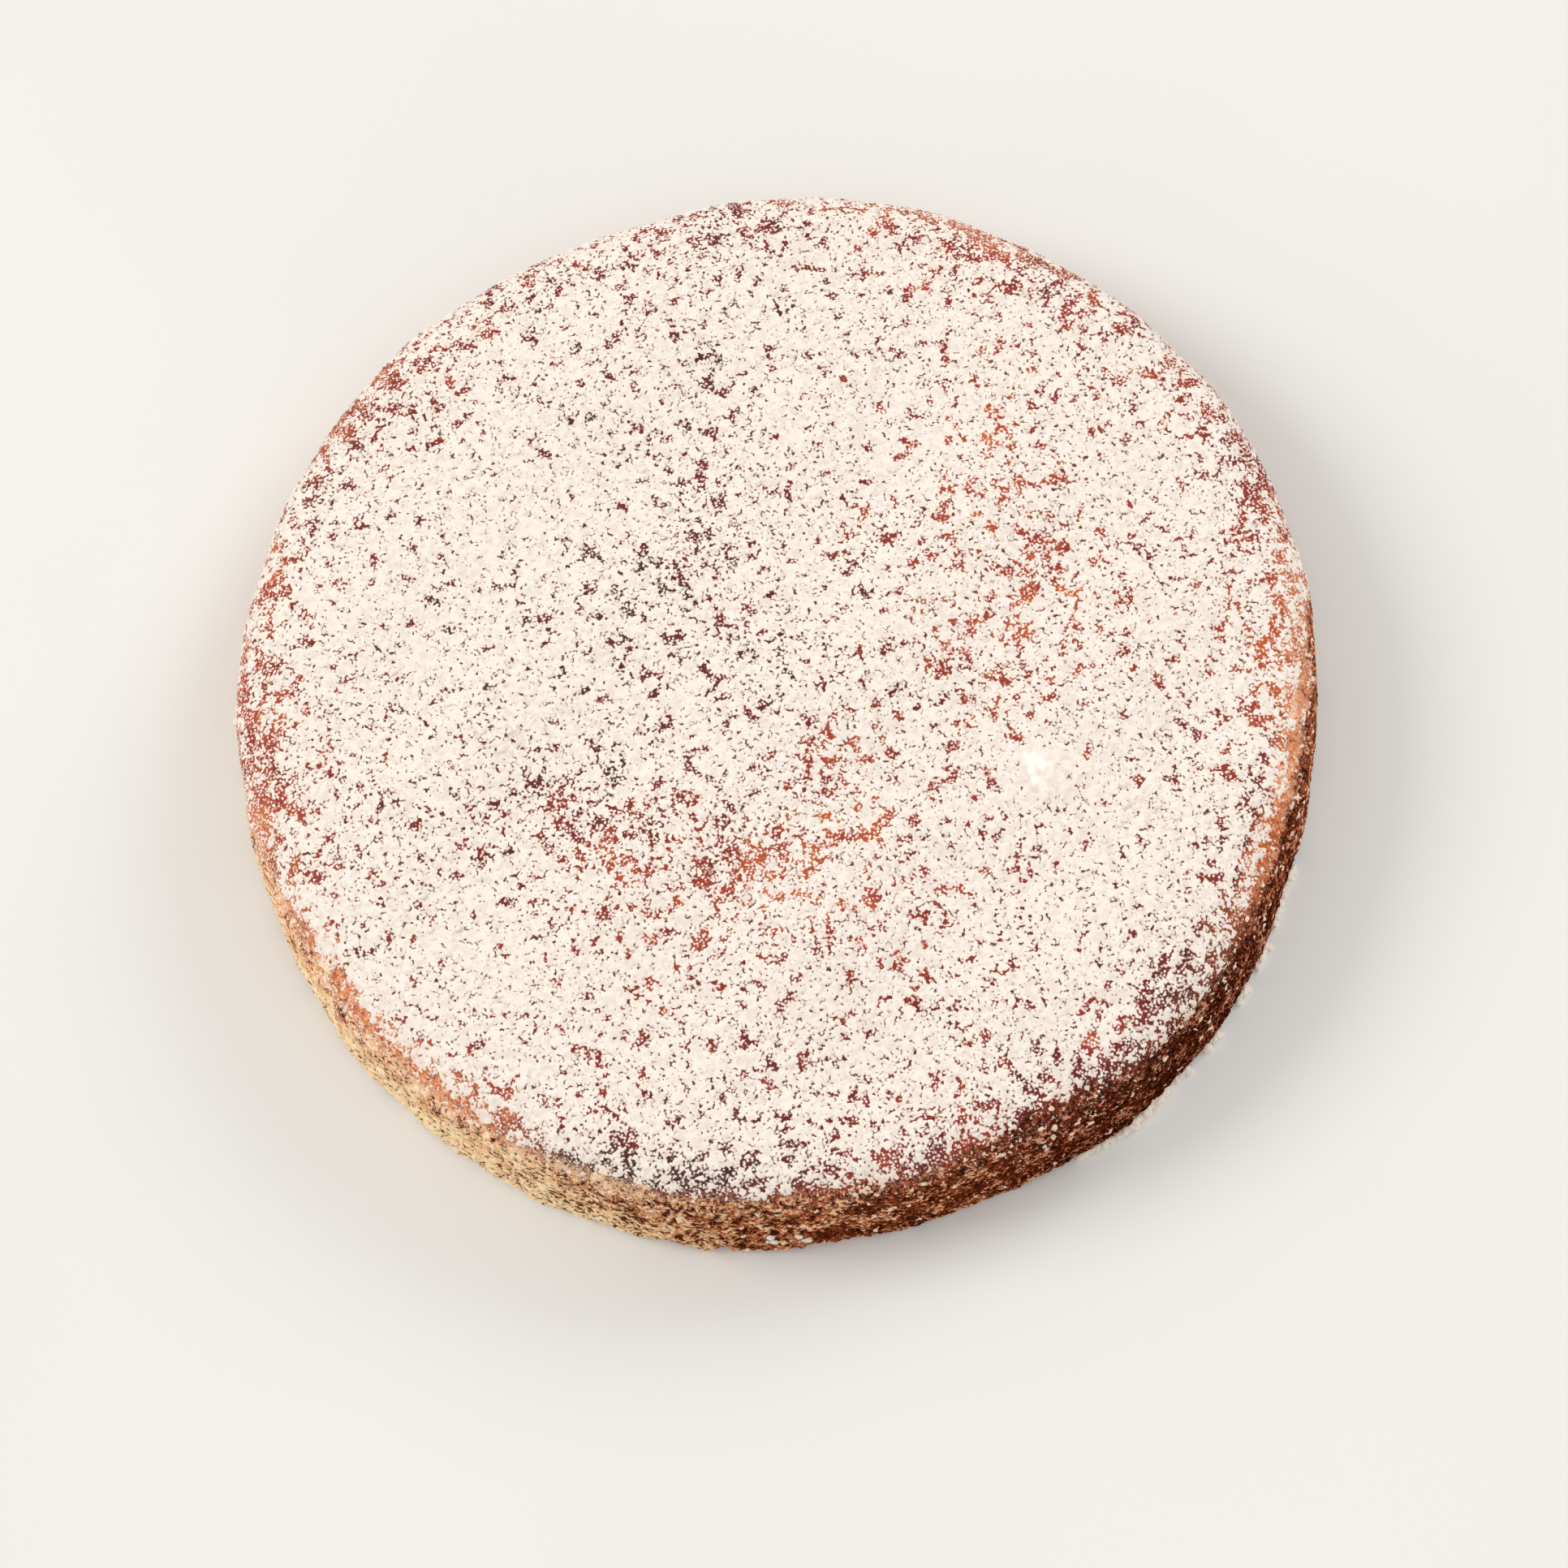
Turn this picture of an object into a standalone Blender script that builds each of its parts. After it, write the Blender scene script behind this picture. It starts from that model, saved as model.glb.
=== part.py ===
"""A round one-layer orange cake, uncut, under a dusting of icing sugar. Metres, +Z up.

The cake stands on its flat foot at z = 0, centred on the origin.
"""

import math

import bpy
import numpy as np

MM = 0.001

# The widest part of the side, and how the side runs from the foot up to the rim:
# (how far in from the widest radius, height above the foot).
SIDE_RADIUS = 113.3 * MM
SIDE_PROFILE = (
    (1.1 * MM, 0.0),
    (0.2 * MM, 0.9 * MM),
    (0.0, 2.4 * MM),
    (0.2 * MM, 5.8 * MM),
    (0.5 * MM, 9.6 * MM),
    (0.9 * MM, 13.6 * MM),
    (1.3 * MM, 17.4 * MM),
    (1.8 * MM, 21.0 * MM),
    (2.6 * MM, 24.0 * MM),
    (4.5 * MM, 26.6 * MM),
    (7.5 * MM, 28.4 * MM),
)

# The top: rim height and how much the middle stands above it.
RIM_HEIGHT = 29.2 * MM
DOME_RISE = 2.6 * MM

# The outline is a little out of round: (waves round the edge, size, direction in degrees).
OUTLINE_WAVES = (
    (1, 0.54 * MM, 130),
    (2, 0.89 * MM, 117),
    (3, 0.39 * MM, 110),
    (4, 0.34 * MM, -155),
    (5, 0.25 * MM, 66),
    (6, 0.43 * MM, 61),
    (8, 0.22 * MM, -82),
    (17, 0.19 * MM, 24),
    (29, 0.17 * MM, 74),
)

# The top sinks and swells gently across its width.
SWELLS = 9
SWELL_SIZE = 0.28 * MM
SWELL_LENGTH = (38 * MM, 95 * MM)

# Relief: lumps of sugar on top, crumbly wrinkled crust on the side.
SUGAR_LUMP = 0.9 * MM
CRUST_CRAG = 0.42 * MM
TOP_RINGS = 30
SEED = 17


def outline(angle):
    """How far the edge stands out from a true circle at this angle."""
    return sum(size * math.cos(n * angle - math.radians(turn)) for n, size, turn in OUTLINE_WAVES)


def swell_waves(rng):
    """Plane waves in random directions: (wave vector x, wave vector y, phase) a row."""
    turn = rng.uniform(0, math.tau, SWELLS)
    length = rng.uniform(*SWELL_LENGTH, SWELLS)
    phase = rng.uniform(0, math.tau, SWELLS)
    return np.stack([np.cos(turn) / length, np.sin(turn) / length, phase / math.tau], axis=1)


def swell(waves, x, y):
    """Height of the gentle swells at x, y."""
    return SWELL_SIZE * float(np.sin(math.tau * (waves[:, 0] * x + waves[:, 1] * y + waves[:, 2])).sum())


def ring_points(radius_in, height, sectors):
    """One ring of the side, following the uneven outline."""
    for i in range(sectors):
        angle = math.tau * i / sectors
        radius = SIDE_RADIUS - radius_in + outline(angle)
        yield radius * math.cos(angle), radius * math.sin(angle), height


def side_rings(rng, sectors):
    """Rings from the foot to the rim, roughened everywhere but at the foot."""
    points = []
    for row, (radius_in, height) in enumerate(SIDE_PROFILE):
        for x, y, z in ring_points(radius_in, height, sectors):
            push = 0.0 if row == 0 else rng.normal(0, CRUST_CRAG)
            reach = math.hypot(x, y)
            scale = 1 + max(-2 * CRUST_CRAG, min(1.6 * CRUST_CRAG, push)) / reach
            points.append((x * scale, y * scale, z))
    return points


def top_rings(rng):
    """The domed top as rings of 6, 12, 18... points, from the rim in to the centre."""
    waves = swell_waves(np.random.default_rng(SEED))
    rim_radius = SIDE_RADIUS - SIDE_PROFILE[-1][0]
    points = []
    for ring in range(TOP_RINGS - 1, -1, -1):
        share = ring / TOP_RINGS
        for i in range(max(1, 6 * ring)):
            angle = math.tau * i / max(1, 6 * ring)
            radius = share * (rim_radius + outline(angle))
            x, y = radius * math.cos(angle), radius * math.sin(angle)
            fade = min(1.0, 6 * (1 - share))
            height = RIM_HEIGHT + DOME_RISE * (1 - share ** 2) + fade * swell(waves, x, y)
            points.append((x, y, height + fade * SUGAR_LUMP * rng.random() ** 2))
    return points


def band_faces(low, high, sectors):
    """Triangles between two rings of equal count, given their first point numbers."""
    faces = []
    for i in range(sectors):
        j = (i + 1) % sectors
        faces.append((low + i, low + j, high + j))
        faces.append((low + i, high + j, high + i))
    return faces


def disc_faces(first):
    """Triangles between rings of 6k points, outermost ring first, down to the one at the centre."""
    faces = []
    for k in range(TOP_RINGS, 0, -1):
        inner = first + 6 * k
        for side in range(6):
            for i in range(k):
                a = first + (side * k + i) % (6 * k)
                b = first + (side * k + i + 1) % (6 * k)
                c = inner + (side * (k - 1) + i) % max(1, 6 * (k - 1))
                faces.append((a, b, c))
                if i < k - 1:
                    d = inner + (side * (k - 1) + i + 1) % (6 * (k - 1))
                    faces.append((b, d, c))
        first = inner
    return faces


def cake_mesh():
    """The whole cake as one closed surface with a flat foot."""
    rng = np.random.default_rng(SEED + 1)
    sectors = 6 * TOP_RINGS
    points = side_rings(rng, sectors)
    rim = len(points) - sectors
    faces = []
    for low in range(0, rim, sectors):
        faces += band_faces(low, low + sectors, sectors)
    points += top_rings(rng)
    faces += disc_faces(rim)
    foot = len(points)
    points.append((0.0, 0.0, 0.0))
    faces += [((i + 1) % sectors, i, foot) for i in range(sectors)]
    points = np.array(points)
    points[:, :2] -= (points[:, :2].min(axis=0) + points[:, :2].max(axis=0)) / 2
    mesh = bpy.data.meshes.new("cake")
    mesh.from_pydata(points.tolist(), [], faces)
    mesh.validate()
    return mesh


def sugared_crust():
    material = bpy.data.materials.new("sugared_crust")
    material.use_nodes = True
    shader = material.node_tree.nodes["Principled BSDF"]
    shader.inputs["Base Color"].default_value = (0.88, 0.80, 0.70, 1.0)
    shader.inputs["Roughness"].default_value = 0.85
    return material


def main():
    for old in list(bpy.data.objects):
        bpy.data.objects.remove(old)
    cake = bpy.data.objects.new("cake", cake_mesh())
    cake.data.materials.append(sugared_crust())
    bpy.context.scene.collection.objects.link(cake)


main()
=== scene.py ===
"""An orange cake under a clumpy dusting of icing sugar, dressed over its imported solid.

All is worked out in millimetres on the cake's skin, unrolled from the middle of the top: rho is the
distance along the skin, over the rim and down the side. Directions run from 0 at the right through
90 at the back and 180 at the left to -90 at the front.
"""

import math

import bmesh
import bpy
import numpy as np
from mathutils import Matrix, Vector


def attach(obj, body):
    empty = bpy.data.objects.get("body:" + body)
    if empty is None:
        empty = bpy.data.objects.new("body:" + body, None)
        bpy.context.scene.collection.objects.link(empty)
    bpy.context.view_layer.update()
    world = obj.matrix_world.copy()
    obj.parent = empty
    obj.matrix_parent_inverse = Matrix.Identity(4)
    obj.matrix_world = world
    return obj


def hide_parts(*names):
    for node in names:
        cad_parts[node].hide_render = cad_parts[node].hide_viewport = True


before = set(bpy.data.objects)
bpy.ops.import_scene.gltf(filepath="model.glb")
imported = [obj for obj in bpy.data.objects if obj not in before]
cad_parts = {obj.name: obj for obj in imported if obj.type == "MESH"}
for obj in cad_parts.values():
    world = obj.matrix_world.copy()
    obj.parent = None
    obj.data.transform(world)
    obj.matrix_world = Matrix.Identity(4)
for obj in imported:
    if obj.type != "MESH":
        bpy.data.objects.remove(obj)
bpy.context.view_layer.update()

MM = 0.001
TAU = math.tau

# -------- the cake's form
SIDE_RADIUS = 113.3
# From the foot up: (how far in from the side's radius, height).
SIDE_PROFILE = (
    (1.1, 0.0), (0.2, 0.9), (0.0, 2.4), (0.2, 5.8), (0.5, 9.6), (0.9, 13.6),
    (1.3, 17.4), (1.8, 21.0), (2.6, 24.0), (4.5, 26.6), (7.5, 28.4),
)
RIM = SIDE_RADIUS - SIDE_PROFILE[-1][0]
RIM_HEIGHT = 29.2
DOME_RISE = 2.6
DOME_SHARE = 29 / 30        # of the top's radius; the shoulder begins there
DOME_STEPS = 200
SKIN_STEPS = 2800
SHOULDER_BLUR = 1.1
BLUR_STEPS = 60             # how far the blur reaches, in steps of the skin
# How the outline is out of round: (waves round the cake, size, turn in degrees).
OUTLINE_WAVES = (
    (1, 0.54, 130), (2, 0.89, 117), (3, 0.39, 110), (4, 0.34, -155), (5, 0.25, 66),
    (6, 0.43, 61), (8, 0.22, -82), (17, 0.19, 24), (29, 0.17, 74),
)
# Low swells of the top.
SWELLS = 9
SWELL_SIZE = 0.28
SWELL_LENGTH = (38, 95)
SWELL_SEED = 17
SWELL_FADE = 6              # they fade over the last sixth of the way to the rim

# -------- the meshes
CELL = 0.34                 # of the sugared skin
SUGAR_REACH = 120.0         # the sugared skin never runs farther than this
STRIPS = 5                  # so that none has over 200,000 triangles
# Each strip's map: its margin in millimetres, and how high half a strip is and where it starts.
MAP_MARGIN = 1.0
MAP_STRIP_HIGH = 0.49
MAP_STRIP_LOW = 0.003
SIDE_FROM = 106.5           # the side piece starts here, under the sugared skin
SIDE_ROW = 0.50
SIDE_SECTORS = 1480
SIDE_NOISE_ROWS = 128       # more than the side has, so its noise doesn't repeat down it
FIRST_ROW_DROP = 0.8        # tucks the side's first row under the sugared skin
CAP_UNDER_RIM = 1.2

# -------- random relief
# (shortest and longest wave, slope, seed), and for some of the side a stretch round the cake.
TOP_RAGGED = (2.5, 24, 1.0, 5)
TOP_UNEVEN = (5, 30, 1.0, 3)
TOP_THIN_SPOTS = (1.2, 8, 1.3, 4)
TOP_FINE = (0.4, 1.6, 0.3, 8)
TOP_TONE = (6, 40, 1.0, 12)
TOP_CRAG = (0.7, 4, 0.8, 9)
SIDE_RAGGED = (2.5, 24, 1.0, 31)
SIDE_FOLDS = (5, 26, 1.0, 21, 0.4)
SIDE_CRUMB = (0.9, 4.5, 0.8, 22)
SIDE_STREAKS = (0.9, 5, 0.6, 23, 2.6)
SIDE_CUTS = (0.6, 3.0, 0.5, 24, 1.5)
SIDE_SEAM = (1.2, 8, 0.8, 27)
SIDE_SPOTS = (1.5, 8, 1.0, 26)
# Grains of sugar: (how many on a square millimetre, smallest and largest radius, power, seed).
TOP_GRAINS = (33, 0.16, 0.75, 2.6, 4)
SIDE_GRAINS = (4, 0.3, 0.9, 2.6, 25)
GRAIN_SQUEEZE = 0.6         # the narrowest grain's width for its length

# -------- where the sugar is thick or thin
# Patches: (x, y, reach along x, reach along y, turn in degrees, amount), in shares of SIDE_RADIUS.
SUGAR_PATCHES = (
    (-0.96, -0.12, 0.05, 0.14, 0, -0.26),
    (-0.71, 0.63, 0.09, 0.07, 40, -0.32),
    (-0.20, 0.20, 0.08, 0.06, 0, -0.20),
    (-0.07, 0.32, 0.06, 0.12, 0, -0.18),
    (0.47, 0.30, 0.07, 0.12, 0, -0.15),
    (0.49, 0.08, 0.07, 0.11, 0, -0.19),
    (0.36, -0.02, 0.08, 0.09, 0, -0.12),
    (-0.26, -0.30, 0.20, 0.10, 0, -0.08),
    (-0.46, -0.20, 0.09, 0.05, 10, -0.24),
    (-0.30, -0.25, 0.08, 0.04, 0, -0.24),
    (-0.20, -0.37, 0.12, 0.05, -5, -0.22),
    (0.02, -0.34, 0.08, 0.06, 10, -0.22),
    (0.08, -0.21, 0.04, 0.07, 0, -0.26),
    (0.00, 0.92, 0.12, 0.05, 0, -0.20),
    (0.34, 0.90, 0.08, 0.05, -20, -0.16),
    (0.52, 0.77, 0.12, 0.06, -35, -0.32),
    (0.66, -0.62, 0.05, 0.14, -45, -0.12),
    (0.00, -0.42, 0.24, 0.12, 0, -0.06),
    (0.40, 0.10, 0.20, 0.20, 0, -0.03),
    (0.93, 0.25, 0.05, 0.10, 0, -0.18),
    (0.90, -0.10, 0.06, 0.12, 0, -0.20),
    (0.55, -0.78, 0.10, 0.07, 35, -0.18),
    (0.05, -0.70, 0.40, 0.12, 0, -0.02),
    (-0.10, 0.74, 0.50, 0.14, 0, -0.09),
    (-0.42, 0.43, 0.14, 0.15, 0, 0.22),
    (-0.50, 0.10, 0.12, 0.16, 0, 0.15),
    (-0.80, 0.28, 0.09, 0.12, 0, 0.12),
    (0.45, -0.28, 0.05, 0.04, 0, 0.40),
    (0.58, -0.36, 0.12, 0.11, 0, 0.20),
    (0.55, -0.55, 0.13, 0.10, 0, 0.12),
    (-0.63, -0.42, 0.13, 0.13, 0, 0.20),
    (0.17, 0.67, 0.11, 0.08, 0, 0.18),
    (0.30, 0.46, 0.20, 0.12, 0, 0.07),
    (0.66, 0.32, 0.12, 0.12, 0, 0.06),
    (0.72, 0.24, 0.08, 0.15, 0, 0.15),
    (-0.25, 0.74, 0.13, 0.08, 0, 0.10),
)
# Smooth heaps where sugar fell thickest: (x, y in shares of SIDE_RADIUS, half width, height).
HEAPS = ((0.455, -0.275, 3.9, 0.90),)
HEAP_RAGGED = 0.30
HEAP_SOLID = (0.30, 0.90)   # how high up the heap it turns from grains to solid sugar
HEAP_SUGAR = 1.6
# How far over the rim the sugar lies, by direction.
SUGAR_EDGE = (
    (-180, 116.4), (-174, 114.8), (-167, 111.2), (-160, 110.2), (-7, 110.2), (-2, 111.6),
    (3, 115.6), (14, 116.0), (27, 114.6), (60, 114.4), (145, 114.4), (160, 115.4), (180, 116.4),
)
EDGE_SOFT = (-1.6, 1.4)
EDGE_RAGGED = 0.7
SKIN_PAST_EDGE = 3.4        # the sugared skin runs on this far under the side piece
# Bumps round the rim: (direction, half width in degrees, amount). These move the sugar's edge.
EDGE_SHIFTS = (
    (-148, 9, -2.8), (-134, 4, -1.0), (-112, 7, -1.0), (-95, 1.5, -1.6), (-84, 3, 0.4),
    (-69, 6, -3.8), (-50, 6, 2.0), (-37, 5, -0.6), (-24, 8, -3.0), (2, 8, -0.4), (20, 10, -0.6),
)
# How much thinner the sugar gets toward the rim, by direction.
EDGE_THIN = (
    (-180, 0.56), (-168, 0.50), (-157, 0.06), (-142, 0.16), (-132, 0.26), (-124, 0.52),
    (-112, 0.62), (-100, 0.70), (-88, 0.60), (-75, 0.66), (-66, 0.56), (-56, 0.16), (-44, 0.62),
    (-32, 0.50), (-18, 0.50), (0, 0.38), (20, 0.55), (40, 0.36), (60, 0.14), (80, 0.14),
    (100, 0.16), (120, 0.24), (140, 0.18), (157, 0.46), (172, 0.46), (180, 0.56),
)
# How far out that thinning starts, by direction, and where it is full.
THIN_FROM = (
    (-180, 90), (-140, 91), (-125, 97), (-65, 96), (-50, 91), (-10, 92), (20, 89), (180, 90),
)
THIN_FULL = 108
# The share of the places where a grain may lie, and how much it varies.
COVER = 0.66
COVER_PATCHES = 1.5
COVER_UNEVEN = 0.10
THIN_SPOTS = 0.44
THIN_SPOTS_AT_RIM = 0.3
THIN_SPOTS_SHARP = 0.75
# Sugar caught on the bare rim past the edge, more of it at the left front.
CAUGHT = 0.05
CAUGHT_RIM = ((-148, 14, 0.14),)
CAUGHT_FROM = (108.5, 111.0)
# How much sugar has caught on the side, by direction.
SIDE_SUGAR = (
    (-180, 0.02), (-166, 0.05), (-150, 0.08), (-132, 0.06), (-118, 0.01), (-106, 0.02),
    (-90, 0.05), (-70, 0.05), (-45, 0.05), (-20, 0.04), (30, 0.04), (90, 0.04), (150, 0.03),
    (180, 0.02),
)
# Sugar lying along the foot: (from, to in degrees, width, height).
FOOT_RIDGES = (
    (-65.6, -61.8, 1.1, 2.6), (-61.6, -50.7, 1.4, 3.6), (-48.0, -45.8, 1.2, 2.4),
    (-42.2, -40.3, 1.1, 2.0), (-37.5, -35.0, 1.0, 1.8), (-33.0, -30.0, 1.2, 2.4),
    (-29.4, -25.6, 1.0, 2.0),
)
# Clumps caught on the side: (direction, distance along the skin, size).
SIDE_CLUMPS = (
    (-98.4, 126.2, 0.75), (-98.1, 129.2, 0.90), (-95.6, 127.4, 0.75), (-94.9, 129.8, 0.95),
    (-101.0, 135.0, 0.6), (176.0, 115.5, 0.8), (-69.5, 117.5, 0.45),
)
# Clumps on the top: (x, y in shares of SIDE_RADIUS, spread, how many, size).
TOP_CLUMPS = (
    (-0.42, 0.50, 6.0, 10, 0.85), (0.60, -0.37, 6.0, 10, 0.85), (-0.63, -0.42, 7.0, 10, 0.8),
    (0.17, 0.67, 6.0, 8, 0.85), (-0.50, 0.05, 7.0, 9, 0.8), (0.0, 0.0, 40.0, 26, 0.75),
    (0.72, 0.24, 6.0, 6, 0.8),
)

# -------- the crust's tone, bake and relief
# From dark plum at 0 to orange at 1.
BASE_TONE = 0.46
TONE_SPREAD = 0.10
TONE_PATCHES = (
    (0.44, 0.18, 0.14, 0.28, 0, 0.32),
    (-0.06, -0.40, 0.26, 0.09, 0, 0.34),
    (0.10, -0.26, 0.07, 0.09, 0, 0.22),
    (-0.38, -0.24, 0.13, 0.05, 0, 0.18),
    (-0.94, 0.04, 0.09, 0.40, 0, 0.34),
    (-0.72, 0.62, 0.13, 0.11, 0, 0.16),
    (0.50, 0.80, 0.24, 0.12, -30, 0.10),
    (-0.60, -0.72, 0.13, 0.09, 0, 0.16),
    (0.95, -0.14, 0.09, 0.22, 0, 0.36),
    (-0.32, 0.10, 0.32, 0.34, 0, -0.34),
    (0.00, 0.64, 0.26, 0.15, 0, -0.16),
    (0.52, -0.58, 0.20, 0.16, 0, -0.12),
    (-0.36, -0.92, 0.26, 0.07, 20, -0.40),
    (0.66, -0.74, 0.12, 0.05, 45, -0.30),
)
# Where the rim just inside the sugar's edge is darkest, at the front right as painted shade where
# the lip lies in shadow: (direction, half width, tone).
DARK_LIP_AND_SHADE = ((-119, 8, -0.46), (-46, 7, -0.22))
LIP_AT = 107.2
LIP_WIDTH = 2.4
# The bare salmon rim: (direction, half width, how salmon), and where it starts and ends.
SALMON_RIM = (
    (-149, 11, 1.0), (-132, 6, 0.6), (-26, 11, 1.1), (-6, 9, 0.35), (62, 8, 0.5), (140, 9, 0.25),
)
SALMON_FROM = (103.0, 106.5)
SALMON_TO = (-3.2, -1.2)    # from the sugared skin's end
SIDE_LOOK_FROM = (-4.6, -1.1)
BARE_RIM_SIDE = 0.85
# How dark the side is, from pale gold to dark brown, by direction: partly from baking, partly
# painted light, with warm reflected light painted on the front left and painted shade on the front
# right.
SIDE_BAKE_AND_LIGHT = (
    (-180, 0.06), (-150, 0.05), (-136, 0.02), (-124, 0.00), (-113, 0.16), (-101, 0.42),
    (-88, 0.64), (-72, 0.77), (-58, 1.00), (-46, 1.02), (-34, 0.90), (-18, 0.62), (12, 0.60),
    (50, 0.50), (95, 0.42), (140, 0.26), (180, 0.06),
)
PALE_BAKE = (0.4, 0.1)
DARK_BAKE = (0.5, 0.9)
# Where the side's crust is papery: (direction, half width, how papery).
FLAKY = ((-108, 13, 1),)
# Heights of the top's relief.
TOP_LIFT = 0.10
DIVE = 0.55                 # at the sugared skin's end
DIVE_OVER = 2.3
SUGAR_THICK = 0.30
SUGAR_ROUND = 0.55          # how soon taller grains level off
FINE_GRIT = 0.06
HOLE_DEPTH = 0.3
BARE_LOSS = 0.22            # of sugar on the bare rim
BARE_SINK = 0.15
CRAG = 0.05
CRAG_BARE = 0.09            # more of it on the bare rim
CRAG_SHADE = 4
# The crust is shaded deep in small holes: sugar under HOLE_EDGE counts as open.
HOLE_EDGE = 0.05
HOLE_BLUR = 0.5
HOLE_GAIN = 1.7
# How far the noise shifts the zones and the bake.
ZONE_RAGGED = 0.8
SALMON_RAGGED = 0.6
BAKE_RAGGED = 0.05
BARE_RIM_OUT = 0.6
# The dark side darkens toward its foot. The pale side is darker under the rim, as painted shade,
# and paler at its foot, as painted light thrown up from below.
DARK_FOOT = 0.14
DARK_FOOT_OVER = (118, 134)
UNDER_RIM_SHADE = 0.20
UNDER_RIM_SHADE_BELL = (0.5, 4.5)     # centre from the sugared skin's end, and width
FOOT_LIGHT = 0.06
FOOT_LIGHT_OVER = (121, 132)
# The film of dust: everywhere, more along the rim, and more again where the side is pale.
DUST = 0.04
DUST_RIM = 0.25
DUST_RIM_BELL = (-2.6, 3.0)
DUST_PALE = 0.55
DUST_PALE_BELL = (1.0, 4.0)
DUST_LOST = 0.7                 # where the side is dark

# -------- the side's own relief
FOLDS = (0.06, 0.18)            # plain, and more where it is flaky
CRUMBS = (0.05, 0.07)           # pale, and more where it is dark
STREAKS_UNDER_RIM = 0.10
STREAKS_BELL = (112, 2.5)
STREAKS_FLAKY = 0.22
CUT_LEVEL = 1.25
CUT_DARK = 0.45
CUT_DEPTH = 0.5
CUT_SHOWN = 0.7
CUT_DEEPEST = 0.9
# The relief fades in from the sugared skin's end and out toward the foot.
LIVELY_FROM = (-6.1, -2.1)
LIVELY_TO = (-1.6, -0.4)
# A groove, with gaps, just above the foot of the pale side, painted dark as shade.
SEAM_UP = 0.9
SEAM_WIDTH = 0.45
SEAM_WANDER = 0.3
SEAM_GAPS = (-0.8, 0.6)
SEAM_PALE = (0.5, 0.2)
SEAM_DEPTH = 0.25
# The side is tucked in where the sugared skin lies over it.
SIDE_TUCK = 0.40
TUCK_FROM = (-3.6, -0.4)
# Sugar on the side thins out downward.
SIDE_SUGAR_FADE = 0.6
SIDE_SUGAR_FADE_OVER = (112, 120)
SIDE_SPOTS_SHARP = 0.9
SIDE_GRAIN_LIFT = 0.45
SIDE_GRAIN_EDGE = 0.1
NO_SUGAR = -0.55
# How dark the painted shade in the hollows is drawn.
FOLD_PITS = 0.5
FOLD_PITS_FLAKY = 0.4
HOLLOW = 3.0
HOLLOW_PALE = 0.3
HOLLOW_DARK = 0.7
HOLLOW_FLAKY = 0.9
PIT_MOST = 0.5
PIT_MOST_FLAKY = 0.4
CUT_SHADE = 2.2
SEAM_SHADE = 0.8


# -------- noise and soft steps
def waves(rows, columns, cell, stretch=1.0):
    """How many waves to the millimetre each term of a field's Fourier transform has."""
    down, along = np.fft.fftfreq(rows, cell), np.fft.rfftfreq(columns, cell)
    return np.hypot(down[:, None], along[None] * stretch)


def spectral(rows, columns, cell, shortest, longest, slope, seed, stretch=1.0):
    """Even random relief of unit size that repeats at the edges, with waves of these lengths.

    Stretch draws the waves out along the rows, or down the columns where it is under one.
    """
    white = np.random.default_rng(seed).standard_normal((rows, columns))
    f = waves(rows, columns, cell, stretch)
    f[0, 0] = 1
    gain = f ** -slope * np.exp(-0.5 * (f * shortest) ** 2) * (1 - np.exp(-(f * longest) ** 2))
    gain[0, 0] = 0
    made = np.fft.irfft2(np.fft.rfft2(white) * gain, s=(rows, columns))
    return made / made.std()


def lumps(rows, columns, cell, per_mm2, smallest, largest, power, seed, density):
    """The upper surface of rounded grains dropped at random, where the density lets them lie."""
    rng = np.random.default_rng(seed)
    count = int(per_mm2 * rows * columns * cell * cell)
    share = rng.random(count)
    radius = smallest ** -power + share * (largest ** -power - smallest ** -power)
    radius = radius ** (-1 / power)
    x, y = rng.random(count) * columns, rng.random(count) * rows
    squeeze, turn = rng.uniform(GRAIN_SQUEEZE, 1, count), rng.uniform(0, math.pi, count)
    kept = rng.random(count) < density[y.astype(int), x.astype(int)]
    x, y, radius, squeeze, turn = (a[kept] for a in (x, y, radius, squeeze, turn))
    cos, sin, reach = np.cos(turn), np.sin(turn), np.ceil(radius / cell).astype(int)
    height = np.zeros(rows * columns)
    for k in range(1, reach.max() + 1):
        m = reach == k
        column, row = np.floor(x[m]).astype(int), np.floor(y[m]).astype(int)
        for dj in range(-k, k + 2):
            for di in range(-k, k + 2):
                dx, dy = (column + dj - x[m]) * cell, (row + di - y[m]) * cell
                along = dx * cos[m] + dy * sin[m]
                across = (dy * cos[m] - dx * sin[m]) / squeeze[m]
                inside = 1 - (along ** 2 + across ** 2) / radius[m] ** 2
                hit = inside > 0
                spot = ((row + di) % rows * columns + (column + dj) % columns)[hit]
                surface = radius[m] * np.sqrt(np.maximum(inside, 0))
                np.maximum.at(height, spot, surface[hit])
    return height.reshape(rows, columns)


def blurred(field, cell, size):
    """The field, smoothed by a bell of this size."""
    f = waves(*field.shape, cell)
    kept = np.exp(-2 * (math.pi * f * size) ** 2)
    return np.fft.irfft2(np.fft.rfft2(field) * kept, s=field.shape)


def smoothstep(low, high, value):
    t = np.clip((value - low) / (high - low), 0, 1)
    return t * t * (3 - 2 * t)


def bell(value, centre, width):
    """1 at the centre, falling off to either side over the width."""
    return np.exp(-0.5 * ((value - centre) / width) ** 2)


def patches(rows, x, y):
    """The sum of soft oval patches at places on the skin."""
    total = np.zeros_like(x)
    for cx, cy, across, deep, turn, amount in rows:
        c, s = math.cos(math.radians(turn)), math.sin(math.radians(turn))
        dx, dy = x / SIDE_RADIUS - cx, y / SIDE_RADIUS - cy
        off = ((dx * c + dy * s) / across) ** 2 + ((dy * c - dx * s) / deep) ** 2
        total += amount * np.exp(-0.5 * off)
    return total


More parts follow.
